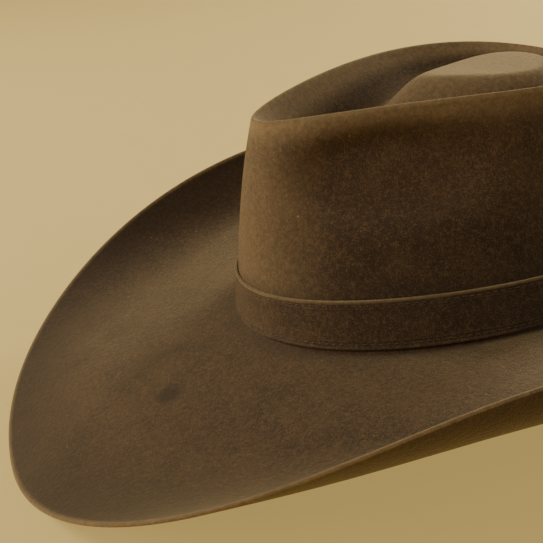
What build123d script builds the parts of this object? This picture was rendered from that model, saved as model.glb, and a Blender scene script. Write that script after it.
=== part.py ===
from build123d import *

import os
from math import cos, exp, pi, radians, sin, sqrt

# A wide-brimmed felt hat with a creased crown. +Y is the back, +X the wearer's left and +Z up. The
# origin is on the surface that the hat stands on, midway between the front and back brim edges.
# An angle goes round the hat from the wearer's left (0) by the back (90) and the right (180).

# ---------------------------------------------------------------- driving dimensions, mm and degrees
felt = 2.2  # thickness of the felt

head_half_length = 104.0  # the break line, where the crown meets the brim
head_half_width = 88.0
break_dip = 6.6  # the break line is lower at the front and back by this much

brim_front_width = 138.0  # measured over the brim's surface
brim_side_width = 113.5
brim_front_slope = -16.6  # slope at the break, then at the edge
brim_front_edge_slope = -30.0
brim_side_slope = 1.0
brim_side_edge_slope = 85.7
brim_front_straight = 63.0  # width of the straight part before the brim starts to curl
brim_side_straight = 63.0
slope_power = 3.67  # how closely the side's slopes keep to the side
edge_slope_power = 1.76
break_fillet = 3.0  # the crown rises from the brim in a round of this reach

rim_half_length = 87.0  # the fold line round the top of the crown
rim_half_width = 57.0
rim_taper = 0.42  # share by which the fold line is wider behind and narrower in front
rim_shift = -1.1
crown_front = 99.7  # heights of the fold line above the break line's sides
crown_side = 108.6
crown_back = 103.5
wall_bulge = 3.1  # the crown's wall swells this far at its front and back
fold_drop = 3.4  # the fold is rounded from this far below its line
fold_share = 0.93  # and up to this share of the crown's top
fold_rise = 1.5  # height of the fold's tangents above its line
fold_inner_drop = 2.2  # that height's loss for each millimetre into the felt
fold_inner_inset = 0.6

trough_front = 27.0  # depth of the crease inside the fold line
trough_side = 13.0
trough_back = 5.0
trough_front_share = 0.3  # its deepest line, as a share of the way to the island's centre
trough_side_share = 0.36
trough_back_share = 0.3
island_height = 105.5  # top of the raised centre of the crown
island_back = 52.4  # how far behind the middle it lies
island_flat = 0.34  # share of the crown's top that is flat on the island

dent_depth = 12.0  # the hollow pinched into each side of the crown
dent_height = 76.0
dent_forward = 34.6
dent_half_length = 42.0
dent_half_height = 20.5
dent_tilt = 0.25
dent_steepness = 1.2
dent_front_limit = 0.15  # the hollow fades out where the wall turns to the front and back
dent_front_fade = 0.3

gap = 0.3  # clearance between neighbouring layers

band_height = 22.0
band_dip = 1.0  # the band reaches this far down into the round at the break
band_thickness = 1.3
band_border = 3.6  # height of the thicker border along each edge of the band
band_border_extra = 0.4
band_seam_gap = 0.5
bow_angle = 62.0  # where the bow covers the band's join, behind the wearer's left ear
bow_loop_length = 27.0
bow_height = 20.0
bow_layer = 0.9
bow_loop_depth = 5.0
keeper_width = 11.0
tail_reach = 35.0  # from the bow's middle to the tail's cut end
tail_inset = 1.0  # the tail is this much narrower along each edge
keeper_slack = 0.5

lining_thickness = 0.4
lining_start = 30.0  # height of the lining's hidden lower edge
piping_radius = 0.9
shield_length = 120.0
shield_width = 66.0
shield_thickness = 0.3

sweat_height = 54.0
sweat_thickness = 1.0
sweat_seam_gap = 1.2
reed_radius = 0.85
reed_tape_height = 11.0
reed_slack = 0.1  # between the reed and the tape that wraps it
tape_thickness = 0.3
seam_tape_width = 14.0
seam_tape_inset = 1.0  # it ends this far below the sweatband's top
label_width = 22.0
label_height = 14.0
small_bow_loop = 11.0
small_bow_height = 6.0
small_bow_depth = 2.4
small_bow_layer = 0.5
small_bow_knot = 4.0
small_bow_level = 14.0
label_level = 20.0
label_angle = 112.0
label_thickness = 0.25

stations = 60  # points on each ring round the hat
wall_steps = 18  # rings up the crown's wall
lining_steps = 20
band_steps = 3


# ---------------------------------------------------------------- the hat's form
def blend(a, b, share):
    return a + (b - a) * share


def ease(share):
    share = min(1.0, max(0.0, share))
    return share * share * (3 - 2 * share)


def sideways(angle):
    """1 at the sides of the hat, 0 at its front and back."""
    return abs(cos(angle))


def outward(angle):
    """Horizontal unit vector out of the break line."""
    x = cos(angle) / head_half_width
    y = sin(angle) / head_half_length
    size = sqrt(x * x + y * y)
    return x / size, y / size


def break_point(angle):
    dip = break_dip * (sideways(angle) ** 2 - 1)
    return head_half_width * cos(angle), head_half_length * sin(angle), dip


def brim_width(angle):
    return blend(brim_front_width, brim_side_width, sideways(angle) ** 2)


def brim_point(angle, share, depth):
    """Share 0 is the break line and 1 the brim's edge; depth is down into the felt."""
    side = sideways(angle)
    start = radians(blend(brim_front_slope, brim_side_slope, side**slope_power))
    end = radians(blend(brim_front_edge_slope, brim_side_edge_slope, side**edge_slope_power))
    straight = blend(brim_front_straight, brim_side_straight, side**2)
    width = brim_width(angle)
    along = share * width
    if along <= straight:
        run = along * cos(start)
        rise = along * sin(start)
        slope = start
    else:
        radius = (width - straight) / (end - start)
        slope = start + (along - straight) / radius
        run = straight * cos(start) + radius * (sin(slope) - sin(start))
        rise = straight * sin(start) + radius * (cos(start) - cos(slope))
    run += depth * sin(slope)
    rise -= depth * cos(slope)
    x, y, z = break_point(angle)
    nx, ny = outward(angle)
    return x + nx * run, y + ny * run, z + rise


def fold_point(angle):
    """The fold line round the top of the crown."""
    back = sin(angle)
    x = rim_half_width * cos(angle) * (1 + rim_taper * back)
    y = rim_half_length * back + rim_shift
    mean = (crown_back + crown_front) / 2
    z = crown_side + (crown_back - crown_front) / 2 * back + (mean - crown_side) * back * back
    return x, y, z


def dent(y, z):
    across = (y + dent_forward - dent_tilt * (z - dent_height)) / dent_half_length
    up = (z - dent_height) / dent_half_height
    size = across**2 + up**2
    return dent_depth * exp(-dent_steepness * size * size)


def wall_point(angle, height, depth):
    """A point of the crown's wall, by height over the break line; depth is into the crown."""
    low = break_point(angle)
    high = fold_point(angle)
    share = height / (high[2] - low[2])
    x, y, z = [blend(a, b, share) for a, b in zip(low, high)]
    side = ease((sideways(angle) - dent_front_limit) / dent_front_fade)
    x -= dent(y, z) * side * (1 if x > 0 else -1)
    depth -= wall_bulge * 4 * share * (1 - share) * (1 - sideways(angle) ** 2)
    nx, ny = outward(angle)
    return x - nx * depth, y - ny * depth, z


def wall_height(angle):
    return fold_point(angle)[2] - break_point(angle)[2]


def level_point(angle, level, depth):
    """A point of the crown's wall at one level all round."""
    return wall_point(angle, level - break_point(angle)[2], depth)


def top_point(angle, share, depth):
    """The creased top: share 1 is the fold line and 0 the island's centre; depth is down."""
    x, y, z = fold_point(angle)
    front = max(0.0, -sin(angle)) ** 2
    back = max(0.0, sin(angle)) ** 2
    side = sideways(angle) ** 2
    trough = trough_side * side + trough_front * front + trough_back * back
    low = trough_side_share * side + trough_front_share * front + trough_back_share * back
    inward = 1 - share
    shore = 1 - island_flat
    if inward < low:
        dip = sin(pi / 2 * inward / low)
    else:
        dip = 1 - ease((inward - low) / (shore - low))
    z = blend(z, island_height, ease(inward / shore)) - trough * dip
    return share * x, island_back + share * (y - island_back), z - depth


def curve(start, corner, end, share):
    """A parabola that leaves start and reaches end along its two tangents at the corner."""
    a = (1 - share) ** 2
    b = 2 * share * (1 - share)
    c = share**2
    return tuple(a * p + b * q + c * r for p, q, r in zip(start, corner, end))


def break_curve(angle, share, depth):
    """The small round from brim to wall."""
    start = brim_point(angle, break_fillet / brim_width(angle), depth)
    end = wall_point(angle, break_fillet, depth)
    x, y, z = break_point(angle)
    nx, ny = outward(angle)
    return curve(start, (x - nx * depth, y - ny * depth, z - depth), end, share)


def fold_curve(angle, share, depth):
    """The round fold from wall to top, tighter on its hidden side."""
    start = wall_point(angle, wall_height(angle) - fold_drop - depth, depth)
    end = top_point(angle, fold_share, depth)
    x, y, z = fold_point(angle)
    nx, ny = outward(angle)
    rise = fold_rise - fold_inner_drop * depth
    inset = fold_inner_inset * depth
    return curve(start, (x - nx * inset, y - ny * inset, z + rise), end, share)


# The floor is level with the lowest edge of the brim, under its front and back.
stand = -brim_point(pi / 2, 1, felt)[2]


def lowest_crease():
    """The lowest level of the felt's hidden side over the crown's top."""
    turns = [2 * pi * i / stations for i in range(stations)]
    shares = [i / 40 * fold_share for i in range(41)]
    return min(top_point(turn, share, felt)[2] for turn in turns for share in shares)


# Layers, as depths into the crown from the felt's outer face
lining_outside = felt + gap
lining_inside = lining_outside + lining_thickness
tape_outside = lining_inside + gap
tape_inside = tape_outside + tape_thickness
sweat_outside = tape_inside + gap
sweat_inside = sweat_outside + sweat_thickness
reed_depth = tape_inside + reed_slack + reed_radius
reed_height = tape_thickness + reed_slack + reed_radius
reed_tape_front = reed_depth + reed_radius + reed_slack
sweat_bottom = reed_height + reed_radius + gap
band_bottom = break_fillet - band_dip
band_face = gap + band_thickness + band_border_extra

# Levels over the break line
tip_top = lowest_crease() - gap
tip_bottom = tip_top - lining_thickness
lining_side_top = tip_bottom - gap
piping_level = tip_bottom - gap - piping_radius


# ---------------------------------------------------------------- making solids from rings
def ring(place):
    """A closed smooth curve; place gives its point at an angle, with z over the break line."""
    points = []
    for i in range(stations):
        x, y, z = place(2 * pi * i / stations)
        points.append((x, y, z + stand))
    with BuildLine() as line:
        Spline(*points, periodic=True)
    return line.wires()[0]


def arc_of(place, start, end):
    """An open smooth curve from one angle to another."""
    count = max(4, round(stations * (end - start) / (2 * pi)))
    points = []
    for i in range(count + 1):
        x, y, z = place(blend(start, end, i / count))
        points.append((x, y, z + stand))
    with BuildLine() as line:
        Spline(*points)
    return line.wires()[0]


def joined(faces):
    return Solid(Shell(faces))


def skin(places):
    """Smooth faces through a list of rings."""
    return Shell.make_loft([ring(place) for place in places]).faces()


def hoop(places):
    """A closed hoop whose section has a corner at each of the places."""
    rings = [ring(place) for place in places]
    pairs = zip(rings, rings[1:] + rings[:1])
    return joined([Face.make_surface_from_curves(a, b) for a, b in pairs])


def strip(places, start, end):
    """As a hoop, but open: it runs from one angle to another and has two flat ends."""
    arcs = [arc_of(place, start, end) for place in places]
    pairs = list(zip(arcs, arcs[1:] + arcs[:1]))
    faces = [Face.make_surface_from_curves(a, b) for a, b in pairs]
    for at in (0, 1):
        with BuildLine() as outline:
            Polyline(*[arc @ at for arc in arcs], close=True)
        faces.append(Face(outline.wires()[0]))
    return joined(faces)


def layer(outside, inside, low, high, steps):
    """Places round the section of a layer on the crown's wall, between two heights."""
    heights = [blend(low, high, i / steps) for i in range(steps + 1)]
    outer = [lambda angle, h=h: wall_point(angle, h, outside) for h in heights]
    inner = [lambda angle, h=h: wall_point(angle, h, inside) for h in reversed(heights)]
    return outer + inner


def section(corners):
    """Places for a section given as (depth, height) corners."""
    return [lambda angle, c=c: wall_point(angle, c[1], c[0]) for c in corners]


# ---------------------------------------------------------------- felt body: crown and brim in one
def felt_skin(depth):
    brim = [lambda a, s=s: brim_point(a, s, depth) for s in (1, 0.92, 0.82, 0.7, 0.58, 0.46, 0.34, 0.2)]
    brim.append(lambda a: brim_point(a, break_fillet / brim_width(a), depth))
    turn = [lambda a, s=s: break_curve(a, s, depth) for s in (0, 0.25, 0.5, 0.75, 1)]

    def up_wall(share):
        return lambda a: wall_point(
            a, blend(break_fillet, wall_height(a) - fold_drop - depth, share), depth)

    wall = [up_wall(i / wall_steps) for i in range(wall_steps + 1)]
    fold = [lambda a, s=s: fold_curve(a, s, depth) for s in (0, 0.25, 0.5, 0.75, 1)]
    shares = [blend(fold_share, island_flat, i / 12) for i in range(13)]
    top = [lambda a, s=s: top_point(a, s, depth) for s in shares]
    faces = []
    for zone in (brim, turn, wall, fold, top):
        faces += skin(zone)
    faces.append(Face(ring(top[-1])))
    return faces


with BuildPart() as felt_body:
    upper_edge = ring(lambda a: brim_point(a, 1, 0))
    lower_edge = ring(lambda a: brim_point(a, 1, felt))
    edge = [Face.make_surface_from_curves(upper_edge, lower_edge)]
    add(joined(felt_skin(0) + edge + felt_skin(felt)))
    felt_body.part.label = "felt_body"


# ---------------------------------------------------------------- hatband and its flat bow
def turn_for(angle, length):
    """The angle that spans a length along the break line, near an angle."""
    x = head_half_width * sin(angle)
    y = head_half_length * cos(angle)
    return length / sqrt(x * x + y * y)


def all_round(angle, opening):
    """Start and end of a strip that leaves an opening at an angle."""
    half = turn_for(angle, opening) / 2
    return angle + half, angle + 2 * pi - half


def patch(angle, start, end):
    """Start and end, in millimetres from an angle along the break line, as angles."""
    return angle + turn_for(angle, start), angle + turn_for(angle, end)


def rounded(depth, height, radius, count=12):
    """A round section, as a list of (depth, height) corners."""
    turns = [2 * pi * i / count for i in range(count)]
    return [(depth + radius * cos(turn), height + radius * sin(turn)) for turn in turns]


def loop_outline(angle, level, start, length, depth, thickness, inset):
    """Plan view of one ribbon loop that lies along the wall; start and length are signed."""
    points = []
    half = abs(length) / 2 - inset
    for i in range(24):
        turn = 2 * pi * i / 24
        along = start + length / 2 + half * cos(turn)
        out = depth + thickness / 2 + (abs(thickness) / 2 - inset) * sin(turn)
        points.append(level_point(angle + turn_for(angle, along), level, out)[:2])
    return points


def lean(angle, level, height):
    """Direction of the wall, upwards from a level."""
    low = Vector(*level_point(angle, level, 0))
    high = Vector(*level_point(angle, level + height, 0))
    return (high - low).normalized()


bow = radians(bow_angle)
band_top = band_bottom + band_height
bow_low = break_point(bow)[2] + band_bottom + (band_height - bow_height) / 2
tail_face = band_face + gap + bow_layer
bow_face = tail_face + gap + bow_loop_depth

with BuildPart() as hatband:
    plain = gap + band_thickness
    band_section = [
        (-gap, band_bottom),
        (-band_face, band_bottom),
        (-band_face, band_bottom + band_border),
        (-plain, band_bottom + band_border + band_border_extra),
        (-plain, band_top - band_border - band_border_extra),
        (-band_face, band_top - band_border),
        (-band_face, band_top),
        (-gap, band_top),
    ]
    for i in range(1, band_steps):
        band_section.append((-gap, blend(band_top, band_bottom, i / band_steps)))
    add(strip(section(band_section), *all_round(bow, band_seam_gap)))
    hatband.part.label = "hatband"

with BuildPart() as bow_tail:
    near = -(band_face + gap)
    tail_low = bow_low - break_point(bow)[2] + tail_inset
    tail_high = tail_low + bow_height - 2 * tail_inset
    tail_section = [(near, tail_low), (-tail_face, tail_low), (-tail_face, tail_high), (near, tail_high)]
    add(strip(section(tail_section), *patch(bow, -keeper_width / 2, tail_reach)))
    bow_tail.part.label = "bow_tail"

with BuildPart() as bow_loops:
    with BuildSketch(Plane.XY.offset(bow_low + stand)):
        for way in (-1, 1):
            for inset, mode in ((0, Mode.ADD), (bow_layer, Mode.SUBTRACT)):
                outline = loop_outline(
                    bow, bow_low, way * gap / 2, way * bow_loop_length,
                    -(tail_face + gap), -bow_loop_depth, inset)
                with BuildLine():
                    Spline(*outline, periodic=True)
                make_face(mode=mode)
    extrude(amount=bow_height, dir=lean(bow, bow_low, bow_height))
    bow_loops.part.label = "bow_loops"

with BuildPart() as bow_keeper:
    rest = -(band_face + gap)
    keeper_in = -(bow_face + gap)
    keeper_out = keeper_in - bow_layer
    keeper_low = bow_low - break_point(bow)[2] - gap - keeper_slack
    keeper_high = keeper_low + bow_height + 2 * (gap + keeper_slack)
    keeper_section = [
        (rest, keeper_low - bow_layer),
        (keeper_out, keeper_low - bow_layer),
        (keeper_out, keeper_high + bow_layer),
        (rest, keeper_high + bow_layer),
        (rest, keeper_high),
        (keeper_in, keeper_high),
        (keeper_in, keeper_low),
        (rest, keeper_low),
    ]
    add(strip(section(keeper_section), *patch(bow, -keeper_width / 2, keeper_width / 2)))
    bow_keeper.part.label = "bow_keeper"

# ---------------------------------------------------------------- sweatband, reed and tapes
back = pi / 2
round_back = all_round(back, sweat_seam_gap)
sweat_top = sweat_bottom + sweat_height

with BuildPart() as sweatband:
    add(strip(layer(sweat_outside, sweat_inside, sweat_bottom, sweat_top, 12), *round_back))
    sweatband.part.label = "sweatband"

with BuildPart() as sweatband_reed:
    add(strip(section(rounded(reed_depth, reed_height, reed_radius)), *round_back))
    sweatband_reed.part.label = "sweatband_reed"

with BuildPart() as reed_tape:
    front_top = reed_height + reed_radius
    tape_section = [
        (tape_outside, reed_tape_height),
        (tape_outside, 0),
        (reed_tape_front + tape_thickness, 0),
        (reed_tape_front + tape_thickness, front_top),
        (reed_tape_front, front_top),
        (reed_tape_front, tape_thickness),
        (tape_inside, tape_thickness),
        (tape_inside, reed_tape_height),
    ]
    add(strip(section(tape_section), *round_back))
    reed_tape.part.label = "reed_tape"

with BuildPart() as back_seam_tape:
    seam_tape = layer(tape_outside, tape_inside, reed_tape_height + gap, sweat_top - seam_tape_inset, 5)
    add(strip(seam_tape, *patch(back, -seam_tape_width / 2, seam_tape_width / 2)))
    back_seam_tape.part.label = "back_seam_tape"

small_bow_low = break_point(back)[2] + small_bow_level
small_bow_near = sweat_inside + gap

with BuildPart() as sweatband_bow_loops:
    with BuildSketch(Plane.XY.offset(small_bow_low + stand)):
        for way in (-1, 1):
            for inset, mode in ((0, Mode.ADD), (small_bow_layer, Mode.SUBTRACT)):
                outline = loop_outline(
                    back, small_bow_low, way * gap / 2, way * small_bow_loop,
                    small_bow_near, small_bow_depth, inset)
                with BuildLine():
                    Spline(*outline, periodic=True)
                make_face(mode=mode)
    extrude(amount=small_bow_height, dir=lean(back, small_bow_low, small_bow_height))
    sweatband_bow_loops.part.label = "sweatband_bow_loops"

with BuildPart() as sweatband_bow_knot:
    knot_in = small_bow_near + small_bow_depth + gap
    knot_out = knot_in + small_bow_layer
    knot_low = small_bow_level - gap
    knot_high = small_bow_level + small_bow_height + gap
    knot_section = [
        (small_bow_near, knot_low - small_bow_layer),
        (knot_out, knot_low - small_bow_layer),
        (knot_out, knot_high + small_bow_layer),
        (small_bow_near, knot_high + small_bow_layer),
        (small_bow_near, knot_high),
        (knot_in, knot_high),
        (knot_in, knot_low),
        (small_bow_near, knot_low),
    ]
    add(strip(section(knot_section), *patch(back, -small_bow_knot / 2, small_bow_knot / 2)))
    sweatband_bow_knot.part.label = "sweatband_bow_knot"

with BuildPart() as size_label:
    label_face = sweat_inside + gap
    label = layer(label_face, label_face + label_thickness, label_level, label_level + label_height, 2)
    at = radians(label_angle)
    add(strip(label, *patch(at, -label_width / 2, label_width / 2)))
    size_label.part.label = "size_label"


# ---------------------------------------------------------------- lining
def lining_place(share, depth):
    """A place on the lining's side, from its hidden lower edge to its seam."""
    def place(angle):
        top = lining_side_top - break_point(angle)[2]
        return wall_point(angle, blend(lining_start, top, share), depth)
    return place


with BuildPart() as lining_side:
    shares = [i / lining_steps for i in range(lining_steps + 1)]
    outside = [lining_place(share, lining_outside) for share in shares]
    inside = [lining_place(share, lining_inside) for share in reversed(shares)]
    add(hoop(outside + inside))
    lining_side.part.label = "lining_side"

with BuildPart() as lining_tip:
    with BuildSketch(Plane.XY.offset(tip_bottom + stand)):
        turns = [2 * pi * i / stations for i in range(stations)]
        with BuildLine():
            Spline(*[level_point(turn, tip_top, lining_outside)[:2] for turn in turns], periodic=True)
        make_face()
    extrude(amount=lining_thickness)
    lining_tip.part.label = "lining_tip"

with BuildPart() as lining_piping:
    depth = lining_inside + gap + piping_radius
    corners = rounded(depth, piping_level, piping_radius, 8)
    add(hoop([lambda angle, c=c: level_point(angle, c[1], c[0]) for c in corners]))
    lining_piping.part.label = "lining_piping"

with BuildPart() as tip_shield:
    with BuildSketch(Plane.XY.offset(tip_bottom - gap - shield_thickness + stand)):
        with Locations((0, rim_shift)):
            Ellipse(shield_width / 2, shield_length / 2)
    extrude(amount=shield_thickness)
    tip_shield.part.label = "tip_shield"

# ---------------------------------------------------------------- files
pieces = [
    felt_body, hatband, bow_tail, bow_loops, bow_keeper, sweatband, sweatband_reed, reed_tape,
    back_seam_tape, sweatband_bow_loops, sweatband_bow_knot, size_label, lining_side, lining_tip,
    lining_piping, tip_shield,
]
os.makedirs("parts", exist_ok=True)
for piece in pieces:
    export_step(piece.part, f"parts/{piece.part.label}.step")
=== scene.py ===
from math import atan2, cos, exp, pi, radians, sin, sqrt
from random import Random

import bmesh
import bpy
from mathutils import Matrix, Vector


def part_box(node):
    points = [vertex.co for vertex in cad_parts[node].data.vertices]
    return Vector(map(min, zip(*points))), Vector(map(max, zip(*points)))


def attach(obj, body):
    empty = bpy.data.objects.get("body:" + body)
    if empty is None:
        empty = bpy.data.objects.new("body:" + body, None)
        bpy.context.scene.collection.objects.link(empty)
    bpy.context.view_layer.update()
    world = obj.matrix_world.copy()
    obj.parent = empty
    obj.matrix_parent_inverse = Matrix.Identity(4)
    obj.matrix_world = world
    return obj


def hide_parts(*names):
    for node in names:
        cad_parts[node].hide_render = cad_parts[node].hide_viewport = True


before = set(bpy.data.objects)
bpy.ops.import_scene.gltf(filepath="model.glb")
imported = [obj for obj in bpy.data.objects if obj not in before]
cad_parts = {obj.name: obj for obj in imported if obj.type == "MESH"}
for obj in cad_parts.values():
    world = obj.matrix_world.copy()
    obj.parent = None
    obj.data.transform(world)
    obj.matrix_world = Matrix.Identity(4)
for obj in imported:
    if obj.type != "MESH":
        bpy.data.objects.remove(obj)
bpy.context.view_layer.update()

# A wide-brimmed felt hat. +Y is its back, +X the wearer's left and +Z up. An angle goes round the hat
# from the wearer's left (0) by the back (90 degrees) and the right (180). Lengths are in metres.

MM = 0.001

# ---------------------------------------------------------------- sizes of the hat's form
felt = 2.2 * MM
head_half_length = 104 * MM
head_half_width = 88 * MM
break_dip = 6.6 * MM
wall_bulge = 3.1 * MM

brim_front_width = 138 * MM
brim_side_width = 113.5 * MM
brim_front_slope = radians(-16.6)
brim_front_edge_slope = radians(-30)
brim_side_slope = radians(1)
brim_side_edge_slope = radians(85.7)
brim_front_straight = 63 * MM
brim_side_straight = 63 * MM
slope_power = 3.67
edge_slope_power = 1.76
break_fillet = 3 * MM

rim_half_length = 87 * MM
rim_half_width = 57 * MM
rim_taper = 0.42
rim_shift = -1.1 * MM
crown_front = 99.7 * MM
crown_side = 108.6 * MM
crown_back = 103.5 * MM
fold_drop = 3.4 * MM
fold_share = 0.93

trough_front = 27 * MM
trough_side = 13 * MM
trough_back = 5 * MM
island_height = 105.5 * MM
island_back = 52.4 * MM
island_flat = 0.34

dent_depth = 12 * MM
dent_height = 76 * MM
dent_forward = 34.6 * MM
dent_half_length = 42 * MM
dent_half_height = 20.5 * MM
dent_tilt = 0.25

# Layers, as depths into the crown from the felt's outer face, and heights over the break line
gap = 0.3 * MM
lining_outside = felt + gap
lining_thickness = 0.4 * MM
lining_bottom = 30 * MM
piping_radius = 0.9 * MM
sweat_outside = 3.8 * MM
sweat_inside = 4.8 * MM
sweat_bottom = 2.4 * MM
sweat_height = 54 * MM
reed_depth = 4.45 * MM
reed_height = 1.25 * MM
reed_tape_radius = 1.15 * MM
seam_gap = 1.2 * MM

band_thickness = 1.3 * MM
band_bottom = 2 * MM
band_top = 24 * MM
band_face = 2.0 * MM
band_border = 3.7 * MM
band_edge = 0.9 * MM

# The ribbon bow over the band's join, and the small bow at the back of the sweatband
bow_angle = radians(62)
bow_height = 20 * MM
bow_reach = 27 * MM
bow_loop_depth = 5 * MM
tail_reach = 35 * MM
tail_notch = 5 * MM
keeper_length = 11 * MM
keeper_thickness = 0.8 * MM
back_angle = pi / 2
small_bow_reach = 11 * MM
small_bow_height = 6 * MM
small_bow_depth = 2.4 * MM
small_bow_level = 17 * MM

# The break line's level at the sides of the hat; the reed's tape starts on that line.
break_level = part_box("reed_tape")[0][2] + break_dip
tip_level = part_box("lining_tip")[0][2] - break_level


# ---------------------------------------------------------------- the hat's form
def blend(a, b, share):
    return a + (b - a) * share


def ease(share):
    share = min(1.0, max(0.0, share))
    return share * share * (3 - 2 * share)


def sideways(angle):
    """1 at the sides of the hat, 0 at its front and back."""
    return abs(cos(angle))


def outward(angle):
    """Horizontal unit vector out of the break line."""
    x = cos(angle) / head_half_width
    y = sin(angle) / head_half_length
    size = sqrt(x * x + y * y)
    return x / size, y / size


def break_point(angle):
    dip = break_dip * (sideways(angle) ** 2 - 1)
    return head_half_width * cos(angle), head_half_length * sin(angle), dip


def brim_width(angle):
    return blend(brim_front_width, brim_side_width, sideways(angle) ** 2)


def brim_wave(angle, share):
    """The small unevenness of a brim that was curled by hand."""
    wave = 0.5 * sin(3 * angle + 0.7) + 0.3 * sin(5 * angle + 2.1) + 0.2 * sin(8 * angle + 4.0)
    return 1.5 * MM * wave * ease((share - 0.25) / 0.75)


def brim_point(angle, share, depth):
    """Share 0 is the break line and 1 the brim's edge; depth is down into the felt."""
    side = sideways(angle)
    start = blend(brim_front_slope, brim_side_slope, side**slope_power)
    end = blend(brim_front_edge_slope, brim_side_edge_slope, side**edge_slope_power)
    straight = blend(brim_front_straight, brim_side_straight, side**2)
    width = brim_width(angle)
    along = share * width
    if along <= straight:
        run = along * cos(start)
        rise = along * sin(start)
        slope = start
    else:
        radius = (width - straight) / (end - start)
        slope = start + (along - straight) / radius
        run = straight * cos(start) + radius * (sin(slope) - sin(start))
        rise = straight * sin(start) + radius * (cos(start) - cos(slope))
    depth -= brim_wave(angle, share)
    run += depth * sin(slope)
    rise -= depth * cos(slope)
    x, y, z = break_point(angle)
    nx, ny = outward(angle)
    return x + nx * run, y + ny * run, z + rise


def fold_point(angle):
    """The fold line round the top of the crown."""
    back = sin(angle)
    x = rim_half_width * cos(angle) * (1 + rim_taper * back)
    y = rim_half_length * back + rim_shift
    mean = (crown_back + crown_front) / 2
    z = crown_side + (crown_back - crown_front) / 2 * back + (mean - crown_side) * back * back
    return x, y, z


def dent(y, z):
    across = (y + dent_forward - dent_tilt * (z - dent_height)) / dent_half_length
    up = (z - dent_height) / dent_half_height
    size = across**2 + up**2
    return dent_depth * exp(-1.2 * size * size)


def wall_wave(angle, height):
    """The soft unevenness of a blocked crown, none of it where the band sits."""
    wave = sin(4 * angle + 60 * height + 1.3) + 0.6 * sin(7 * angle - 85 * height)
    return 0.28 * MM * wave * ease((height - 28 * MM) / (20 * MM))


def wall_point(angle, height, depth):
    """A point of the crown's wall, by height over the break line; depth is into the crown."""
    low = break_point(angle)
    high = fold_point(angle)
    share = height / (high[2] - low[2])
    x, y, z = [blend(a, b, share) for a, b in zip(low, high)]
    side = ease((sideways(angle) - 0.15) / 0.3)
    x -= dent(y, z) * side * (1 if x > 0 else -1)
    depth -= wall_bulge * 4 * share * (1 - share) * (1 - sideways(angle) ** 2)
    nx, ny = outward(angle)
    return x - nx * depth, y - ny * depth, z


def wall_height(angle):
    return fold_point(angle)[2] - break_point(angle)[2]


def level_point(angle, level, depth):
    """A point of the crown's wall at one level all round."""
    return wall_point(angle, level - break_point(angle)[2], depth)


def top_wave(x, y):
    return 0.5 * MM * sin(55 * x + 30 * y + 0.4) + 0.4 * MM * sin(90 * y - 40 * x + 2.0)


def top_point(angle, share, depth):
    """The creased top: share 1 is the fold line and 0 the island's centre; depth is down."""
    x, y, z = fold_point(angle)
    front = max(0.0, -sin(angle)) ** 2
    back = max(0.0, sin(angle)) ** 2
    side = sideways(angle) ** 2
    trough = trough_side * side + trough_front * front + trough_back * back
    low = 0.36 * side + 0.3 * front + 0.3 * back
    inward = 1 - share
    shore = 1 - island_flat
    if inward < low:
        dip = sin(pi / 2 * inward / low)
    else:
        dip = 1 - ease((inward - low) / (shore - low))
    z = blend(z, island_height, ease(inward / shore)) - trough * dip
    x = share * x
    y = island_back + share * (y - island_back)
    z += top_wave(x, y) * ease((1 - share) / 0.4)
    return x, y, z - depth


def curve(start, corner, end, share):
    """A parabola that leaves start and reaches end along its two tangents at the corner."""
    a = (1 - share) ** 2
    b = 2 * share * (1 - share)
    c = share**2
    return tuple(a * p + b * q + c * r for p, q, r in zip(start, corner, end))


def break_curve(angle, share, depth):
    """The small round from brim to wall."""
    start = brim_point(angle, break_fillet / brim_width(angle), depth)
    end = wall_point(angle, break_fillet, depth)
    x, y, z = break_point(angle)
    nx, ny = outward(angle)
    return curve(start, (x - nx * depth, y - ny * depth, z - depth), end, share)


def fold_curve(angle, share, depth):
    """The round fold from wall to top, tighter on its hidden side."""
    start = wall_point(angle, wall_height(angle) - fold_drop - depth, depth)
    end = top_point(angle, fold_share, depth)
    x, y, z = fold_point(angle)
    nx, ny = outward(angle)
    rise = 1.5 * MM - 2.2 * depth
    inset = 0.6 * depth
    return curve(start, (x - nx * inset, y - ny * inset, z + rise), end, share)


# ---------------------------------------------------------------- mesh helpers
def finish_piece(mesh, name, body, material):
    """Turns a bmesh into an object at the origin that rides on a body."""
    data = bpy.data.meshes.new(name)
    mesh.to_mesh(data)
    mesh.free()
    data.shade_smooth()
    piece = bpy.data.objects.new(name, data)
    bpy.context.scene.collection.objects.link(piece)
    data.materials.append(material)
    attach(piece, body)
    return piece


def merged(mesh, distance=1e-6):
    bmesh.ops.remove_doubles(mesh, verts=mesh.verts, dist=distance)
    bmesh.ops.recalc_face_normals(mesh, faces=mesh.faces)
    return mesh


def raised(point):
    """A point of the form, put at its height over the floor."""
    x, y, z = point
    return Vector((x, y, z + break_level))


def sheet_of(rows, columns, start=0.0, end=2 * pi):
    """A bmesh sheet with a row for each place in rows; a place gives its point at an angle.
    The UV map runs from 0 to 1 along the rows, and across them."""
    mesh = bmesh.new()
    uv = mesh.loops.layers.uv.new("UVMap")
    count = len(rows) - 1
    bmesh.ops.create_grid(mesh, x_segments=columns, y_segments=count, size=0.5, calc_uvs=True)
    grid = {}
    for vertex in mesh.verts:
        i = round((vertex.co.x + 0.5) * columns)
        j = round((vertex.co.y + 0.5) * count)
        grid[vertex.index] = (i, j)
    for face in mesh.faces:
        for loop in face.loops:
            i, j = grid[loop.vert.index]
            loop[uv].uv = (i / columns, j / count)
    for vertex in mesh.verts:
        i, j = grid[vertex.index]
        vertex.co = raised(rows[j](blend(start, end, i / columns)))
    return mesh, grid


def hoop_of(section, columns):
    """A closed hoop from a list of places round its section."""
    mesh, _ = sheet_of(section + section[:1], columns)
    return merged(mesh)


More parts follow.
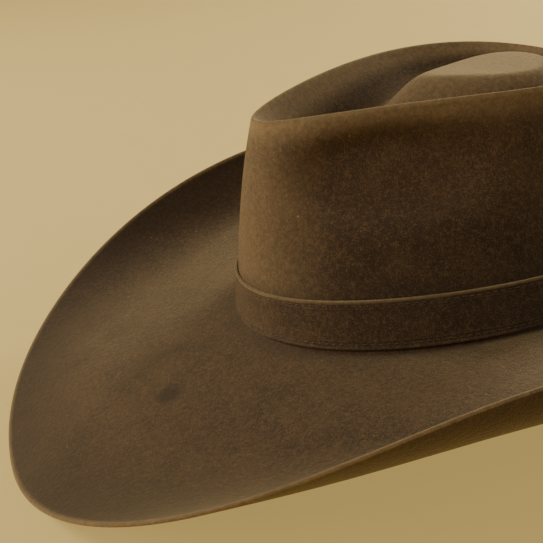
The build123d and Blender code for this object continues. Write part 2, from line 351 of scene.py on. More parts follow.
def strip_of(section, columns, start, end):
    """An open strip from one angle to another, with closed ends."""
    mesh, _ = sheet_of(section + section[:1], columns, start, end)
    merged(mesh)
    edges = [edge for edge in mesh.edges if edge.is_boundary]
    bmesh.ops.holes_fill(mesh, edges=edges)
    bmesh.ops.recalc_face_normals(mesh, faces=mesh.faces)
    return mesh


def turn_for(angle, length):
    """The angle that a length along the break line spans, near an angle."""
    x = head_half_width * sin(angle)
    y = head_half_length * cos(angle)
    return length / sqrt(x * x + y * y)


def rounded_section(corners, radius, steps=4):
    """Corners as (depth, height), each rounded by short cuts of a parabola."""
    points = []
    count = len(corners)
    for i in range(count):
        before = Vector(corners[i - 1])
        here = Vector(corners[i])
        after = Vector(corners[(i + 1) % count])
        near = min(radius, 0.45 * (here - before).length)
        far = min(radius, 0.45 * (after - here).length)
        start = here + (before - here).normalized() * near
        end = here + (after - here).normalized() * far
        for k in range(steps + 1):
            t = k / steps
            points.append(start * (1 - t) ** 2 + here * 2 * t * (1 - t) + end * t * t)
    return points


def on_wall(points):
    """Places on the crown's wall for a section's (depth, height) points."""
    return [lambda angle, p=p: wall_point(angle, p[1], p[0]) for p in points]


def walk_round(start, step):
    """Angles round the hat in equal steps of length along the break line."""
    angles = []
    angle = start
    while angle < start + 2 * pi:
        angles.append(angle)
        angle += turn_for(angle, step)
    return angles[:-1]


def stitch(mesh, middle, along, out, length, radius, sink):
    """One thread stitch: a small long bead whose two ends dip under the surface."""
    side = along.cross(out).normalized()
    made = bmesh.ops.create_uvsphere(mesh, u_segments=6, v_segments=6, radius=1)
    for vertex in made["verts"]:
        x, y, z = vertex.co
        rise = y * radius - sink * z * z
        vertex.co = middle + along * (z * length / 2) + side * (x * radius) + out * rise


def stitch_row(name, body, material, marks, length, radius, sink=0.45 * MM):
    """A row of stitches; marks are (middle, along, out)."""
    mesh = bmesh.new()
    for middle, along, out in marks:
        stitch(mesh, middle, along.normalized(), out.normalized(), length, radius, sink)
    bmesh.ops.recalc_face_normals(mesh, faces=mesh.faces)
    return finish_piece(mesh, name, body, material)


# ---------------------------------------------------------------- shader helpers
class Value:
    """A shader value. Sums and products of values add the Math nodes that they need."""

    def __init__(self, paint, socket):
        self.paint = paint
        self.socket = socket

    def math(self, operation, *values):
        return self.paint.node("ShaderNodeMath", {"operation": operation}, values)

    def __add__(self, other):
        return self.math("ADD", self, other)

    def __sub__(self, other):
        return self.math("SUBTRACT", self, other)

    def __mul__(self, other):
        return self.math("MULTIPLY", self, other)

    def __pow__(self, other):
        return self.math("POWER", self, other)

    def __radd__(self, other):
        return self.math("ADD", other, self)

    def __rsub__(self, other):
        return self.math("SUBTRACT", other, self)

    def __rmul__(self, other):
        return self.math("MULTIPLY", other, self)

    def clamp(self):
        return self.paint.node("ShaderNodeClamp", {}, {"Value": self, "Min": 0.0, "Max": 1.0})

    def between(self, low, high):
        """0 below low, 1 above high, smooth in between."""
        inputs = {"Value": self, "From Min": low, "From Max": high, "To Min": 0.0, "To Max": 1.0}
        return self.paint.node("ShaderNodeMapRange", {"interpolation_type": "SMOOTHSTEP"}, inputs)

    def ripple(self, pitch):
        """Even waves from 0 to 1 along the value, one to each pitch."""
        return (self * (2 * pi / pitch)).sine() * 0.5 + 0.5

    def sine(self):
        return self.math("SINE", self)


class Paint:
    """One material, its nodes and its place on the piece."""

    def __init__(self, name):
        self.material = bpy.data.materials.new(name)
        self.material.use_nodes = True
        self.tree = self.material.node_tree
        self.shader = self.tree.nodes["Principled BSDF"]
        self.place = self.node("ShaderNodeTexCoord", {}, {}, "Object")
        self.surface = self.node("ShaderNodeTexCoord", {}, {}, "UV")

    def node(self, kind, settings, inputs, output=0):
        node = self.tree.nodes.new(kind)
        for key, value in settings.items():
            setattr(node, key, value)
        pairs = inputs.items() if isinstance(inputs, dict) else enumerate(inputs)
        for key, value in pairs:
            self.feed(node.inputs[key], value)
        return Value(self, node.outputs[output])

    def feed(self, socket, value):
        if isinstance(value, Value):
            self.tree.links.new(value.socket, socket)
        else:
            socket.default_value = value

    def attribute(self, name):
        """A value that the mesh holds at each vertex."""
        return self.node("ShaderNodeAttribute", {"attribute_name": name}, {}, "Fac")

    def noise(self, place, scale, detail=2.0, roughness=0.5):
        inputs = {"Vector": place, "Scale": scale, "Detail": detail, "Roughness": roughness}
        return self.node("ShaderNodeTexNoise", {}, inputs)

    def cells(self, place, scale, randomness=1.0, feature="F1"):
        inputs = {"Vector": place, "Scale": scale, "Randomness": randomness}
        return self.node("ShaderNodeTexVoronoi", {"feature": feature}, inputs)

    def part(self, place, axis):
        return self.node("ShaderNodeSeparateXYZ", {}, {"Vector": place}, axis)

    def vector(self, x, y, z):
        return self.node("ShaderNodeCombineXYZ", {}, {"X": x, "Y": y, "Z": z})

    def stretched(self, place, scale):
        """A place with its axes scaled, for a pattern that is longer one way."""
        return self.node("ShaderNodeMapping", {}, {"Vector": place, "Scale": scale})

    def mix(self, first, second, share):
        """One colour over another. The Mix node has its colours on inputs 6 and 7 and output 2."""
        colours = [one if isinstance(one, Value) else (*one, 1) for one in (first, second)]
        settings = {"data_type": "RGBA", "clamp_factor": True}
        return self.node("ShaderNodeMix", settings, {0: share, 6: colours[0], 7: colours[1]}, 2)

    def relief(self, height, distance, strength, under=None):
        """A bump of some height, on top of another bump if one is given."""
        inputs = {"Strength": strength, "Distance": distance, "Height": height}
        if under:
            inputs["Normal"] = under
        return self.node("ShaderNodeBump", {}, inputs)

    def finish(self, **values):
        """Sets or links the shader's sockets, such as base_color, and gives the material."""
        for key, value in values.items():
            name = key.replace("_", " ").title().replace("Ior", "IOR")
            self.feed(self.shader.inputs[name], value)
        return self.material


# ---------------------------------------------------------------- materials
felt_dark_patch = (0.022, 0.012, 0.007)
felt_dark = (0.030, 0.0168, 0.0098)
felt_mid = (0.080, 0.0430, 0.0205)
felt_pale = (0.160, 0.098, 0.045)
felt_worn_and_lit = (0.30, 0.205, 0.100)
lint_grey = (0.34, 0.28, 0.19)
black = (0.0, 0.0, 0.0)


def felt_paint(name, tone=1.0, dark_patches=()):
    """Brushed fur felt: mottled colour, a fine nap, pale wear on handled folds and cut edges, with painted
    highlight on the fold, the island and the crown's front, and painted shade in the creases, troughs, inside
    and under the brim. Each dark patch, partly a smudge and partly painted shade, is its place from above,
    its size and its strength."""
    paint = Paint(name)
    place = paint.place
    x = paint.part(place, "X")
    y = paint.part(place, "Y")
    z = paint.part(place, "Z")
    radius = (x * x + y * y) ** 0.5
    turn = paint.node("ShaderNodeMath", {"operation": "ARCTAN2"}, [y, x])
    cloud = paint.noise(place, 16.0, 4.0, 0.55)
    patch = paint.noise(place, 62.0, 4.0, 0.6)
    mottle = paint.noise(place, 420.0, 3.0, 0.65)
    grain = paint.noise(place, 1500.0, 2.0, 0.6)
    brushed = paint.vector(turn * 0.9, radius * 9.0, z * 9.0)
    strokes = paint.noise(brushed, 55.0, 4.0, 0.62)
    fibre = paint.noise(paint.stretched(place, (1.0, 1.0, 0.35)), 2600.0, 2.0, 0.7)

    shade = cloud * 0.24 + patch * 0.18 + strokes * 0.14 + mottle * 0.2 + grain * 0.24
    colour = paint.mix(felt_dark, felt_mid, shade.between(0.37, 0.63))
    tips = (grain + mottle * 0.6 - 0.78).clamp() * 2.2
    colour = paint.mix(colour, felt_pale, tips)
    # Pale rubbed nap, which on the folds, the island and the crown's front is painted highlight as well.
    rubbed_and_lit = (paint.attribute("wear_and_highlight") * (0.35 + mottle * 0.8)).clamp() * 0.8
    colour = paint.mix(colour, felt_worn_and_lit, rubbed_and_lit)
    # Painted shade: darker in the creases, the troughs, inside and under the brim, and towards the brim's
    # edge.
    painted_shade = paint.attribute("soil_and_shade") * (0.45 + cloud * 0.5)
    colour = paint.mix(colour, felt_dark, painted_shade)
    # Dark patches on the brim's front: partly a smudge, partly painted shade.
    for (patch_x, patch_y), size, strength in dark_patches:
        across = x - patch_x
        along = y - patch_y
        away = (across * across + along * along) ** 0.5 + (patch - 0.5) * size * 1.2
        mark = (1 - away.between(size * 0.25, size)) * strength
        colour = paint.mix(colour, felt_dark_patch, mark)
    linty = paint.noise(place, 34.0, 1.0).between(0.56, 0.6)
    speck = (1 - paint.cells(place, 95.0).between(0.03, 0.055)) * linty
    colour = paint.mix(colour, lint_grey, speck * 0.55)
    if tone != 1.0:
        colour = paint.mix(colour, black, 1 - tone)

    hollows = paint.relief(patch * 0.7 + strokes * 0.5, 0.9 * MM, 0.35)
    nap = paint.relief(grain * 0.45 + fibre * 0.4 + mottle * 0.6, 0.6 * MM, 0.75, hollows)
    return paint.finish(
        base_color=colour, roughness=0.86 + (mottle - 0.5) * 0.16, normal=nap, specular_ior_level=0.25,
        sheen_weight=0.34, sheen_roughness=0.42, sheen_tint=(1.0, 0.80, 0.42, 1))


def ribbon_paint(name, dark, light, rib_pitch):
    """Corded ribbon: fine ribs across it, slightly uneven, with a soft sheen."""
    paint = Paint(name)
    ribs = paint.part(paint.surface, "X").ripple(rib_pitch)
    thread = paint.part(paint.surface, "Y").ripple(0.35 * MM)
    fuzz = paint.noise(paint.place, 900.0, 3.0, 0.6)
    tone = paint.noise(paint.place, 60.0, 3.0)
    colour = paint.mix(dark, light, (ribs * 0.45 + fuzz * 0.35 + tone * 0.3).between(0.2, 0.9))
    bump = paint.relief(ribs + thread * 0.2 + fuzz * 0.5, 0.22 * MM, 0.8)
    return paint.finish(
        base_color=colour, roughness=0.62 + fuzz * 0.2, normal=bump, specular_ior_level=0.35,
        sheen_weight=0.25, sheen_roughness=0.4, sheen_tint=(1.0, 0.85, 0.62, 1))


def leather_paint(name):
    """Vegetable-tanned sweatband leather: pebble grain, creases, darkened by wear near the opening."""
    paint = Paint(name)
    place = paint.place
    pebble = paint.cells(place, 1150.0)
    crease = paint.cells(place, 260.0, 1.0, "DISTANCE_TO_EDGE")
    cloud = paint.noise(place, 30.0, 4.0, 0.6)
    fine = paint.noise(place, 700.0, 3.0, 0.6)
    lines = 1 - crease.between(0.0, 0.06)
    tan_dark = (0.115, 0.055, 0.024)
    tan_light = (0.235, 0.122, 0.055)
    tan_creased = (0.075, 0.034, 0.015)
    tan_soiled = (0.052, 0.024, 0.012)
    colour = paint.mix(tan_dark, tan_light, cloud.between(0.3, 0.72))
    colour = paint.mix(colour, tan_creased, (lines * 0.35 + pebble * 0.3).clamp())
    colour = paint.mix(colour, tan_soiled, paint.attribute("soil_and_shade") * (0.35 + cloud * 0.6))
    grain = paint.relief(pebble * 0.5 - lines * 0.6 + fine * 0.3, 0.16 * MM, 0.75)
    return paint.finish(
        base_color=colour, roughness=0.42 + cloud * 0.18 + lines * 0.1, normal=grain, specular_ior_level=0.45)


def satin_paint(name):
    """Lining satin: long floats that gleam along one way, with faint slubs."""
    paint = Paint(name)
    cloud = paint.noise(paint.place, 40.0, 3.0)
    slub = paint.noise(paint.stretched(paint.place, (1.0, 1.0, 9.0)), 240.0, 3.0, 0.6)
    warp = paint.part(paint.surface, "X").ripple(0.28 * MM)
    weft = paint.part(paint.surface, "Y").ripple(0.5 * MM)
    bronze_dark = (0.16, 0.098, 0.048)
    bronze_light = (0.33, 0.215, 0.112)
    bronze_deep = (0.10, 0.06, 0.03)
    colour = paint.mix(bronze_dark, bronze_light, (cloud * 0.6 + slub * 0.5).between(0.3, 0.8))
    colour = paint.mix(colour, bronze_deep, warp * weft * 0.25)
    floats = paint.relief(warp * 0.5 + weft * 0.3 + slub, 0.07 * MM, 0.6)
    return paint.finish(
        base_color=colour, roughness=0.3 + slub * 0.16, normal=floats, specular_ior_level=0.6,
        sheen_weight=0.3, sheen_roughness=0.3, sheen_tint=(1.0, 0.9, 0.7, 1))


def thread_paint(name, dark, light):
    """Waxed sewing thread with a faint twist."""
    paint = Paint(name)
    strand = paint.noise(paint.place, 2200.0, 2.0)
    tone = paint.noise(paint.place, 90.0, 2.0)
    colour = paint.mix(dark, light, (strand * 0.6 + tone * 0.5).between(0.3, 0.75))
    twist = paint.relief(strand, 0.1 * MM, 0.6)
    return paint.finish(base_color=colour, roughness=0.6 + strand * 0.15, normal=twist)


def tape_paint(name, wrapped):
    """Plain woven cotton tape: its weave follows the surface where it is wrapped, and else stands upright."""
    paint = Paint(name)
    dark = (0.05, 0.03, 0.017)
    light = (0.13, 0.083, 0.05)
    turns = 2 * pi / (0.6 * MM)
    if wrapped:
        along, across = paint.part(paint.surface, "X"), paint.part(paint.surface, "Y")
        dullness, sheen = 0.82, 0.15
    else:
        along, across = paint.part(paint.place, "X"), paint.part(paint.place, "Z")
        dullness, sheen = 0.84, 0.0
    weave = (along * turns).sine() * (across * turns).sine() * 0.5 + 0.5
    fuzz = paint.noise(paint.place, 800.0, 3.0, 0.6)
    colour = paint.mix(dark, light, (weave * 0.5 + fuzz * 0.5).between(0.2, 0.8))
    threads = paint.relief(weave + fuzz * 0.4, 0.18 * MM, 0.8)
    return paint.finish(
        base_color=colour, roughness=dullness + fuzz * 0.1, normal=threads, sheen_weight=sheen)


def reed_paint(name):
    """Extruded plastic reed, slightly yellowed."""
    paint = Paint(name)
    draw = paint.noise(paint.place, 300.0, 2.0)
    colour = paint.mix((0.50, 0.45, 0.33), (0.66, 0.61, 0.48), draw)
    lines = paint.relief(draw, 0.1 * MM, 0.4)
    return paint.finish(base_color=colour, roughness=0.38 + draw * 0.12, normal=lines)


def film_paint(name):
    """Clear plastic film with faint scuffs."""
    paint = Paint(name)
    scuff = paint.noise(paint.stretched(paint.place, (1.0, 0.12, 1.0)), 900.0, 3.0, 0.7)
    haze = scuff.between(0.5, 0.72)
    colour = paint.mix((0.80, 0.79, 0.72), (0.92, 0.91, 0.86), haze)
    scratches = paint.relief(scuff, 0.05 * MM, 0.4)
    return paint.finish(
        base_color=colour, roughness=0.1 + haze * 0.3, alpha=0.2 + haze * 0.16, normal=scratches,
        specular_ior_level=0.6)


def paper_paint(name):
    """Blank uncoated label stock, a little yellowed at random."""
    paint = Paint(name)
    fibre = paint.noise(paint.place, 1800.0, 3.0, 0.6)
    age = paint.noise(paint.place, 140.0, 3.0)
    share = (fibre * 0.4 + age * 0.6).between(0.3, 0.7)
    colour = paint.mix((0.62, 0.56, 0.42), (0.78, 0.73, 0.60), share)
    fibres = paint.relief(fibre, 0.08 * MM, 0.6)
    return paint.finish(base_color=colour, roughness=0.85 + fibre * 0.1, normal=fibres)


# ---------------------------------------------------------------- felt body
def felt_rows():
    """Places from the island's centre over the crown and brim, round the edge and back inside,
    each with its kind and its share of that kind."""
    rows = []

    def add(place, kind, shares, depth=0.0):
        for share in shares:
            rows.append((lambda a, s=share: place(a, s, depth), kind, share))

    def climbing(angle, share, depth):
        high = wall_height(angle) - fold_drop - depth
        height = blend(break_fillet, high, share)
        return wall_point(angle, height, depth + (wall_wave(angle, height) if depth == 0 else 0))

    def brim_edge(angle, share, depth):
        half = felt / 2
        width = brim_width(angle)
        turn = pi * share
        return brim_point(angle, 1 - half / width + half * sin(turn) / width, depth + half * (1 - cos(turn)))

    def steps(first, last, count):
        return [blend(first, last, i / count) for i in range(count)]

    near = break_fillet / brim_front_width
    tip = 1 - felt / 2 / brim_front_width
    add(top_point, "top", steps(0, fold_share, 54))
    add(fold_curve, "fold", steps(1, 0, 12))
    add(climbing, "wall", steps(1, 0, 62))
    add(break_curve, "break", steps(1, 0, 8))
    add(brim_point, "brim", steps(near, tip, 62))
    add(brim_edge, "edge", steps(0, 1, 8))
    add(brim_point, "under", steps(tip, near, 34), felt)
    add(break_curve, "inside", steps(0, 1, 6), felt)
    add(climbing, "inside", steps(0, 1, 12), felt)
    add(fold_curve, "inside", steps(0, 1, 4), felt)
    add(top_point, "inside", steps(fold_share, 0, 9) + [0], felt)
    return rows


def wear_and_highlight_at(kind, share, angle):
    """How pale the felt is painted: rubbed-off nap on the brim's cut edge, and partly wear, partly painted
    highlight on the crown's fold, the island and the crown's front.
    """
    # The fold: partly handling wear, partly painted highlight where its round catches light.
    if kind == "fold":
        return 0.8
    # Near the fold and on the island: partly wear, partly painted highlight on the lit island.
    if kind == "top":
        return 0.8 * ease((share - 0.8) / 0.13) + 0.9 * (1 - ease((share - 0.3) / 0.4))
    # Top of the wall and the crown's front: partly wear, partly painted highlight.
    if kind == "wall":
        return 0.6 * ease((share - 0.88) / 0.12) + 0.4 * ease((-sin(angle) - 0.62) / 0.35)
    if kind == "edge":
        return 0.75
    if kind == "brim":
        return 0.5 * ease((share - 0.975) / 0.02)
    if kind == "under":
        return 0.4 * ease((share - 0.975) / 0.02)
    return 0.0


def painted_shade_at(kind, share):
    """How much painted shade darkens the felt: by the band low in the crease, inside the crown, in the top's
    troughs, under the brim and towards the brim's edge.
    """
    if kind in ("break", "inside"):
        return 0.6
    if kind == "brim":
        return 0.55 * (1 - ease((share - 0.02) / 0.07)) + 0.8 * ease((share - 0.6) / 0.35)
    if kind == "wall":
        return 0.5 * (1 - ease((share - 0.2) / 0.09))
    if kind == "top":
        return 0.3 * ease((share - 0.55) / 0.15) * (1 - ease((share - 0.75) / 0.15))
    if kind == "under":
        return 0.85
    return 0.0


def make_felt_body(material):
    columns = 352
    rows = felt_rows()
    mesh, grid = sheet_of([place for place, _, _ in rows], columns)
    wear_and_highlight = mesh.verts.layers.float.new("wear_and_highlight")
    soil_and_shade = mesh.verts.layers.float.new("soil_and_shade")
    for vertex in mesh.verts:
        i, j = grid[vertex.index]
        _, kind, share = rows[j]
        # Pale wear, with painted highlight on the folds, the island and the crown's front.
        vertex[wear_and_highlight] = wear_and_highlight_at(kind, share, 2 * pi * i / columns)
        # Painted shade in the creases, the troughs, inside and under the brim.
        vertex[soil_and_shade] = painted_shade_at(kind, share)
    piece = finish_piece(merged(mesh), "felt_shell", "hat", material)
    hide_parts("felt_body")


# ---------------------------------------------------------------- hatband
def height_on_wall(vertex):
    """A vertex's height over the break line."""
    angle = atan2(vertex.co.y / head_half_length, vertex.co.x / head_half_width)
    return vertex.co.z - break_level - break_point(angle)[2]


def make_hatband(material):
    plain = gap + band_thickness
    ridge = plain + 0.22 * MM
    lower_half = [
        (-gap, 0),
        (-band_face, 0),
        (-band_face, band_edge),
        (-plain, band_edge + 0.5 * MM),
        (-plain, band_border - 0.3 * MM),
        (-ridge, band_border),
        (-plain, band_border + 0.5 * MM),
    ]
    corners = [(depth, band_bottom + rise) for depth, rise in lower_half]
    corners.append((-plain - 0.1 * MM, (band_bottom + band_top) / 2))
    corners += [(depth, band_top - rise) for depth, rise in reversed(lower_half)]
    section = on_wall(rounded_section(corners, 0.5 * MM))
    half = turn_for(bow_angle, 0.3 * MM)
    mesh = strip_of(section, 300, bow_angle + half, bow_angle - half + 2 * pi)
    # Painted highlight: the band's top edge is painted pale where it catches light.
    wear_and_highlight = mesh.verts.layers.float.new("wear_and_highlight")
    for vertex in mesh.verts:
        vertex[wear_and_highlight] = 0.7 * ease((height_on_wall(vertex) - band_top + 1.6 * MM) / (0.8 * MM))
    piece = finish_piece(mesh, "hatband_felt", "band", material)
    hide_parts("hatband")


def wall_frame(angle, height, depth):
    """A place on the crown's wall, and its directions along the wall and out of it."""
    turn = 0.002
    here, before, after = [raised(wall_point(angle + t, height, depth)) for t in (0, -turn, turn)]
    above = raised(wall_point(angle, height + 0.2 * MM, depth))
    along = after - before
    return here, along.normalized(), along.cross(above - here).normalized()


def make_band_stitches(material):
    chance = Random(7)
    face = -(gap + band_thickness)
    inset = 2.4 * MM
    rows = {"band_upper_stitches": band_top - inset, "band_lower_stitches": band_bottom + inset}
    for name, height in rows.items():
        marks = []
        for angle in walk_round(bow_angle + turn_for(bow_angle, 2 * MM), 3.7 * MM):
            here, along, out = wall_frame(angle, height, face)
            up = out.cross(along)
            tilt = chance.uniform(-0.06, 0.06)
            stray = chance.uniform(-0.08, 0.08) * MM
            marks.append((here + out * 0.12 * MM + up * stray, along + up * tilt, out))
        stitch_row(name, "band", material, marks, 2.8 * MM, 0.27 * MM)


# ---------------------------------------------------------------- ribbon bows
def ribbon_loop(mesh, angle, level, reach, height, depth, thickness, ply, pinch):
    """One flat loop of ribbon that lies along the wall, pinched at its root. A negative reach goes the
    other way round the hat, and a negative thickness stands out of the wall."""
    half = abs(thickness) / 2
    sign = 1 if thickness > 0 else -1
    made = bmesh.ops.create_grid(mesh, x_segments=40, y_segments=12, size=0.5, calc_uvs=True)
    uv = mesh.loops.layers.uv.verify()
    for vertex in made["verts"]:
        share = vertex.co.x + 0.5
        across = vertex.co.y
        turn = 2 * pi * share
        far = 0.5 - 0.5 * cos(turn)
        bulge = sin(turn) * (0.25 + 0.75 * far**0.5)
        tall = height * blend(pinch, 1, ease(far / 0.45))
        crease = 0.35 * MM * cos(3 * pi * across) * (1 - ease(far / 0.35))
        inward = depth + sign * (half + (half - ply) * bulge + crease)
        for loop in vertex.link_loops:
            loop[uv].uv = (across * height, share * 2 * abs(reach))
        place = level_point(angle + turn_for(angle, reach * far), level + across * tall, inward)
        vertex.co = raised(place)


def thickened(mesh, ply):
    """Gives open ribbon its thickness, both ways from its middle."""
    merged(mesh)
    bmesh.ops.solidify(mesh, geom=mesh.faces[:], thickness=ply)
    bmesh.ops.recalc_face_normals(mesh, faces=mesh.faces)
    return mesh


def make_bow_loops(material, level, depth):
    mesh = bmesh.new()
    for reach in (-bow_reach, bow_reach):
        ribbon_loop(mesh, bow_angle, level, reach, bow_height, -depth, -bow_loop_depth, 0.45 * MM, 0.72)
    piece = finish_piece(thickened(mesh, 0.8 * MM), "bow_ribbon_loops", "band", material)
    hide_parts("bow_loops")


def make_bow_tail(material, level, depth):
    mesh = bmesh.new()
    uv = mesh.loops.layers.uv.new("UVMap")
    bmesh.ops.create_grid(mesh, x_segments=40, y_segments=12, size=0.5, calc_uvs=True)
    for vertex in mesh.verts:
        share = vertex.co.x + 0.5
        across = vertex.co.y
        notch = tail_notch * (1 - 2 * abs(across))
        along = blend(-5 * MM, tail_reach - notch, share)
        lift = 0.25 * MM * sin(share * 9) * share
        droop = 1.5 * MM * share
        for loop in vertex.link_loops:
            loop[uv].uv = (across * bow_height, along)
        height = level - droop + across * (bow_height - 2 * MM)
        out = depth + 0.45 * MM + lift
        vertex.co = raised(level_point(bow_angle + turn_for(bow_angle, along), height, -out))
    piece = finish_piece(thickened(mesh, 0.7 * MM), "bow_ribbon_tail", "band", material)
    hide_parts("bow_tail")


def make_bow_keeper(material, near, far):
    """A band of ribbon round the bow's middle, open towards the crown."""
    low = band_bottom + 0.3 * MM
    high = band_top + 0.1 * MM
    outer = [(-near, low), (-far - keeper_thickness, low), (-far - keeper_thickness, high), (-near, high)]
    low += keeper_thickness
    high -= keeper_thickness
    inner = [(-near, high), (-far, high), (-far, low), (-near, low)]
    section = on_wall(rounded_section(outer + inner, 1.6 * MM, 6))
    half = turn_for(bow_angle, keeper_length / 2)
    mesh = strip_of(section, 24, bow_angle - half, bow_angle + half)
    piece = finish_piece(mesh, "bow_ribbon_keeper", "band", material)
    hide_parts("bow_keeper")


def make_bow(material):
    level = break_point(bow_angle)[2] + (band_bottom + band_top) / 2
    tail_depth = band_face + gap
    loops_depth = tail_depth + 1.2 * MM
    make_bow_loops(material, level, loops_depth)
    make_bow_tail(material, level, tail_depth)
    make_bow_keeper(material, tail_depth, loops_depth + bow_loop_depth + 0.5 * MM)


def make_small_bow(material):
    level = break_point(back_angle)[2] + small_bow_level
    near = sweat_inside + gap
    mesh = bmesh.new()
    for reach in (-small_bow_reach, small_bow_reach):
        ribbon_loop(mesh, back_angle, level, reach, small_bow_height, near, small_bow_depth, 0.3 * MM, 0.5)
    piece = finish_piece(thickened(mesh, 0.45 * MM), "small_bow_loops", "hat", material)
    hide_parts("sweatband_bow_loops")

    far = near + 3.1 * MM
    low = small_bow_level - 3.8 * MM
    high = small_bow_level + 3.8 * MM
    section = on_wall(rounded_section([(near, low), (far, low), (far, high), (near, high)], 1.2 * MM, 6))
    half = turn_for(back_angle, 2 * MM)
    mesh = strip_of(section, 12, back_angle - half, back_angle + half)
    piece = finish_piece(mesh, "small_bow_knot", "hat", material)
    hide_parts("sweatband_bow_knot")


# ---------------------------------------------------------------- sweatband and lining
def open_at_back(points):
    """A strip right round the wall, with a slit at the back seam."""
    half = turn_for(back_angle, seam_gap / 2)
    return strip_of(on_wall(points), 280, back_angle + half, back_angle - half + 2 * pi)


def make_sweatband(material):
    steps = 18
    heights = [sweat_bottom + sweat_height * i / steps for i in range(steps + 1)]
    corners = [(sweat_outside, height) for height in heights]
    corners += [(sweat_inside, height) for height in reversed(heights)]
    mesh = open_at_back(rounded_section(corners, 0.4 * MM, 2))
    soil_and_shade = mesh.verts.layers.float.new("soil_and_shade")
    for vertex in mesh.verts:
        vertex[soil_and_shade] = 1 - ease((height_on_wall(vertex) - 6 * MM) / (24 * MM))
    piece = finish_piece(mesh, "sweatband_leather", "hat", material)
    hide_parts("sweatband")


def make_reed_tape(material):
    turns = [2 * pi * i / 16 for i in range(16)]
    bead = [(reed_depth + reed_tape_radius * cos(t), reed_height + reed_tape_radius * sin(t)) for t in turns]
    piece = finish_piece(open_at_back(bead), "reed_tape_roll", "hat", material)
    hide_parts("reed_tape")


def make_sweatband_stitches(thread):
    above_leather = 0.1 * MM
    marks = []
    for angle in walk_round(back_angle + turn_for(back_angle, seam_gap), 3.4 * MM):
        here, along, out = wall_frame(angle, 3.9 * MM, sweat_inside)
        marks.append((here - out * above_leather, along, -out))
    stitch_row("sweatband_stitches", "hat", thread, marks, 2.6 * MM, 0.26 * MM, 0.35 * MM)

    marks = []
    count = 34
    clear_of_bow = 4.9 * MM
    for i in range(count):
        height = blend(6 * MM, 54 * MM, i / (count - 1))
        if abs(height - small_bow_level) < clear_of_bow:
            continue
        here, along, out = wall_frame(back_angle, height, sweat_inside)
        slant = 0.55 if i % 2 else -0.55
        marks.append((here - out * above_leather, along + out.cross(along) * slant, -out))
    stitch_row("back_seam_stitches", "hat", thread, marks, 3.4 * MM, 0.22 * MM, 0.3 * MM)


def line_length(points):
    return sum((Vector(q) - Vector(p)).length for p, q in zip(points, points[1:]))


def lining_fold(angle, share):
    """Soft pleats in the lining's side, deepest at its seam."""
    wave = 0.55 + 0.3 * sin(37 * angle + 1.2 * sin(5 * angle)) + 0.15 * sin(71 * angle + 2)
    return 1.1 * MM * wave * ease((share - 0.35) / 0.65)


def make_lining_side(material):
    top = tip_level - gap

    def place(share, depth=lining_outside):
        def at(angle):
            height = blend(lining_bottom, top - break_point(angle)[2], share)
            return wall_point(angle, height, depth + lining_fold(angle, share))
        return at

    shares = [i / 24 for i in range(25)]
    section = [place(share) for share in shares]
    section += [place(share, lining_outside + lining_thickness) for share in reversed(shares)]
    piece = finish_piece(hoop_of(section, 420), "lining_satin_side", "hat", material)
    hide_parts("lining_side")

    round_angles = [2 * pi * i / 200 for i in range(201)]
    low_edge = line_length([place(0)(angle) for angle in round_angles])
    high_edge = line_length([place(1)(angle) for angle in round_angles])
    slants = [line_length([place(share)(2 * pi * i / 24) for share in shares]) for i in range(24)]


def make_lining_tip(material):
    middle = 4 * MM

    def place(share, side):
        def at(angle):
            x, y, _ = level_point(angle, tip_level, lining_outside)
            pucker = 0.25 * MM * abs(sin(46 * angle + 2 * sin(3 * angle))) * ease((share - 0.72) / 0.2)
            return share * x, middle + share * (y - middle), tip_level + side * lining_thickness - pucker
        return at

    shares = [0, 0.15, 0.3, 0.45, 0.6] + [blend(0.7, 0.995, i / 12) for i in range(13)]
    rows = [place(share, 0) for share in shares] + [place(share, 1) for share in reversed(shares)]
    mesh, _ = sheet_of(rows, 420)
    piece = finish_piece(merged(mesh), "lining_satin_tip", "hat", material)
    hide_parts("lining_tip")

    outline = [level_point(2 * pi * i / 200, tip_level, lining_outside) for i in range(200)]
    cut_area = sum(p[0] * q[1] - q[0] * p[1] for p, q in zip(outline, outline[1:] + outline[:1])) / 2
    wide = 2 * max(x for x, _, _ in outline)
    long = max(y for _, y, _ in outline) - min(y for _, y, _ in outline)


def make_lining_cord(material):
    """The satin-covered cord in the seam between the lining's side and its tip."""
    depth = lining_outside + lining_thickness + gap + piping_radius
    level = tip_level - gap - piping_radius

    def place(turn):
        def at(angle):
            radius = piping_radius + 0.06 * MM * sin(190 * angle + turn)
            return level_point(angle, level + radius * sin(turn), depth + radius * cos(turn))
        return at

    section = [place(2 * pi * i / 12) for i in range(12)]
    piece = finish_piece(hoop_of(section, 600), "lining_cord", "hat", material)
    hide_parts("lining_piping")


# ---------------------------------------------------------------- camera, light and floor
def make_camera():
    """Looks at the front of the crown's left side, from a little over the brim."""
    heading = radians(76.52)
    climb = radians(22.8)
    roll = radians(-5.93)
    distance = 0.5
    target = Vector((0.0517, -0.0992, break_level + 0.0396))
    back = Vector((sin(heading) * cos(climb), -cos(heading) * cos(climb), sin(climb)))
    level_right = Vector((0, 0, 1)).cross(back).normalized()
    level_up = back.cross(level_right)
    right = level_right * cos(roll) + level_up * sin(roll)
    up = level_up * cos(roll) - level_right * sin(roll)
    camera = bpy.data.objects.new("camera", bpy.data.cameras.new("camera"))
    camera.data.sensor_width = 36
    camera.data.lens = 72.16
    turned = Matrix((right, up, back)).transposed().to_4x4()
    camera.matrix_world = Matrix.Translation(target + back * distance) @ turned
    bpy.context.scene.collection.objects.link(camera)
    bpy.context.scene.camera = camera


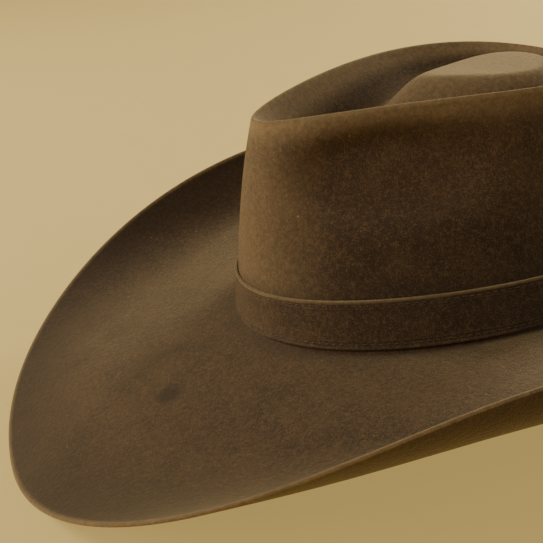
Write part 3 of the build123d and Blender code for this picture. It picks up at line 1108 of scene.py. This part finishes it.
def floor_paint(name):
    """Translucent warm paper on a light table: it glows a little, which weakens the hat's shadow."""
    paint = Paint(name)
    grain = paint.noise(paint.place, 45.0, 3.0)
    colour = paint.mix((0.40, 0.29, 0.085), (0.44, 0.32, 0.105), grain)
    return paint.finish(
        base_color=colour, roughness=0.9, emission_color=(1.0, 0.70, 0.22, 1), emission_strength=0.42)


def make_floor():
    mesh = bmesh.new()
    bmesh.ops.create_grid(mesh, x_segments=1, y_segments=1, size=6)
    data = bpy.data.meshes.new("floor")
    mesh.to_mesh(data)
    mesh.free()
    data.materials.append(floor_paint("floor_paper"))
    floor = bpy.data.objects.new("floor", data)
    bpy.context.scene.collection.objects.link(floor)


def soft_light(name, place, size, power):
    """A warm round light that faces the crown."""
    light = bpy.data.lights.new(name, "AREA")
    light.shape = "DISK"
    light.size = size
    light.energy = power
    light.color = (1.0, 0.92, 0.76)
    lamp = bpy.data.objects.new(name, light)
    lamp.location = place
    facing = Vector((0, 0, 0.1)) - Vector(place)
    lamp.rotation_euler = facing.to_track_quat("-Z", "Y").to_euler()
    bpy.context.scene.collection.objects.link(lamp)


def make_lights():
    soft_light("front", (0.0, -1.64, 1.57), 0.8, 17)
    soft_light("front_low", (0.0, -2.09, 0.78), 0.8, 17)
    soft_light("front_far_side", (-1.25, -1.55, 0.95), 0.6, 24)
    soft_light("back_far_side", (-1.05, 1.81, 0.78), 0.8, 40)
    soft_light("back_near_side", (1.05, 1.81, 0.78), 0.8, 10)
    soft_light("back", (0.0, 2.09, 0.78), 0.8, 7)
    soft_light("near_side_fill", (2.0, 0.30, 0.80), 1.2, 3)
    world = bpy.data.worlds.new("studio")
    world.use_nodes = True
    background = world.node_tree.nodes["Background"]
    background.inputs["Color"].default_value = (1.0, 0.90, 0.68, 1)
    background.inputs["Strength"].default_value = 0.1
    bpy.context.scene.world = world


# ---------------------------------------------------------------- building
# A dark patch on the brim, partly a smudge and partly painted shade, by its angle and share.
def dark_patch_on_brim(angle, share, size, strength):
    x, y, _ = brim_point(radians(angle), share, 0)
    return (x, y), size, strength


def paint_node(node, material):
    """Gives a CAD piece that is seen as it is its material."""
    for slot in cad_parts[node].material_slots:
        slot.material = material


make_camera()
make_floor()
make_lights()

# Dark patches on the brim's front, partly a smudge and partly painted shade.
dark_patches = [
    dark_patch_on_brim(-77, 0.40, 9 * MM, 0.75),
    dark_patch_on_brim(-92, 0.38, 16 * MM, 0.35),
    dark_patch_on_brim(-111, 0.56, 14 * MM, 0.25),
]
brown_felt = felt_paint("brown_felt", 1.0, dark_patches)
band_felt = felt_paint("band_felt", 0.92)
ribbon = ribbon_paint("corded_ribbon", (0.030, 0.017, 0.010), (0.085, 0.052, 0.030), 0.9 * MM)
small_ribbon = ribbon_paint("small_bow_ribbon", (0.060, 0.034, 0.018), (0.15, 0.095, 0.052), 0.5 * MM)
leather = leather_paint("sweatband_leather")
satin = satin_paint("bronze_satin")
band_thread = thread_paint("band_thread", (0.042, 0.025, 0.013), (0.105, 0.068, 0.036))
tan_thread = thread_paint("tan_thread", (0.19, 0.12, 0.06), (0.38, 0.26, 0.14))

make_felt_body(brown_felt)
make_hatband(band_felt)
make_band_stitches(band_thread)
make_bow(ribbon)
make_sweatband(leather)
make_reed_tape(tape_paint("woven_tape", True))
make_sweatband_stitches(tan_thread)
make_small_bow(small_ribbon)
make_lining_side(satin)
make_lining_tip(satin)
make_lining_cord(satin)
paint_node("sweatband_reed", reed_paint("reed_plastic"))
paint_node("back_seam_tape", tape_paint("seam_tape", False))
paint_node("size_label", paper_paint("label_stock"))
paint_node("tip_shield", film_paint("clear_film"))
